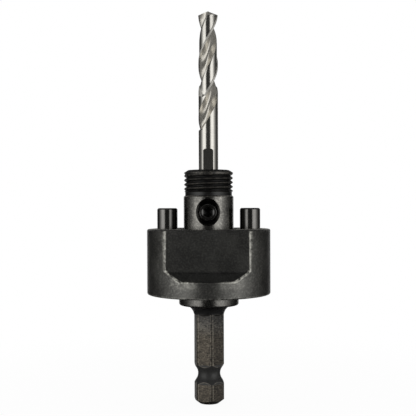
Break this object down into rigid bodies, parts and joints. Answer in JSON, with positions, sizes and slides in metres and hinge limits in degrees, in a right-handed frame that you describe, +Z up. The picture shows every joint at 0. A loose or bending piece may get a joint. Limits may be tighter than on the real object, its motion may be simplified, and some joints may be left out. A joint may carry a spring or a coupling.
{
  "type": "hole saw arbor",
  "caption": "Hole saw arbor with a grooved hex shank, a sliding drive collar with pins, a threaded nose and a twist drill held by a set screw.",
  "frame": {"origin": "centre of the shank's flat end face", "axes": "+Z up the tool's axis from the shank to the drill's point, -Y towards the set screw and one wrench flat, the drive pins on the X axis"},
  "size_m": [0.04, 0.04, 0.1273],
  "materials": {
    "black_oxide_steel": "black oxide over turned steel, thin oil film, rubbed lighter on the hexagon",
    "black_oxide_collar": "black oxide over turned and milled steel, worn brighter along the milled edges",
    "pin_steel": "black oxide over ground steel, smooth and glossy",
    "screw_steel": "black oxide, semi-gloss",
    "bright_drill_steel": "bright ground high-speed steel, polished flutes",
    "hard_ball_steel": "polished hardened steel",
    "spring_steel": "drawn spring wire, lightly oiled"
  },
  "bodies": {
    "spindle": {"spindle": "black_oxide_steel", "detent_ball": "hard_ball_steel", "detent_spring": "spring_steel"},
    "collar": {"drive_collar": "black_oxide_collar", "drive_pin_left": "pin_steel", "drive_pin_right": "pin_steel"},
    "screw": {"set_screw": "screw_steel"},
    "drill": {"pilot_drill": "bright_drill_steel"}
  },
  "joints": [
    {"name": "collar_slide", "type": "slide", "parent": "spindle", "child": "collar", "axis": [0, 0, 1], "range_m": [0, 0.0105]},
    {"name": "screw_travel", "type": "slide", "parent": "spindle", "child": "screw", "axis": [0, -1, 0], "range_m": [0, 0.001]},
    {"name": "drill_slide", "type": "slide", "parent": "spindle", "child": "drill", "axis": [0, 0, 1], "range_m": [0, 0.0235]}
  ]
}
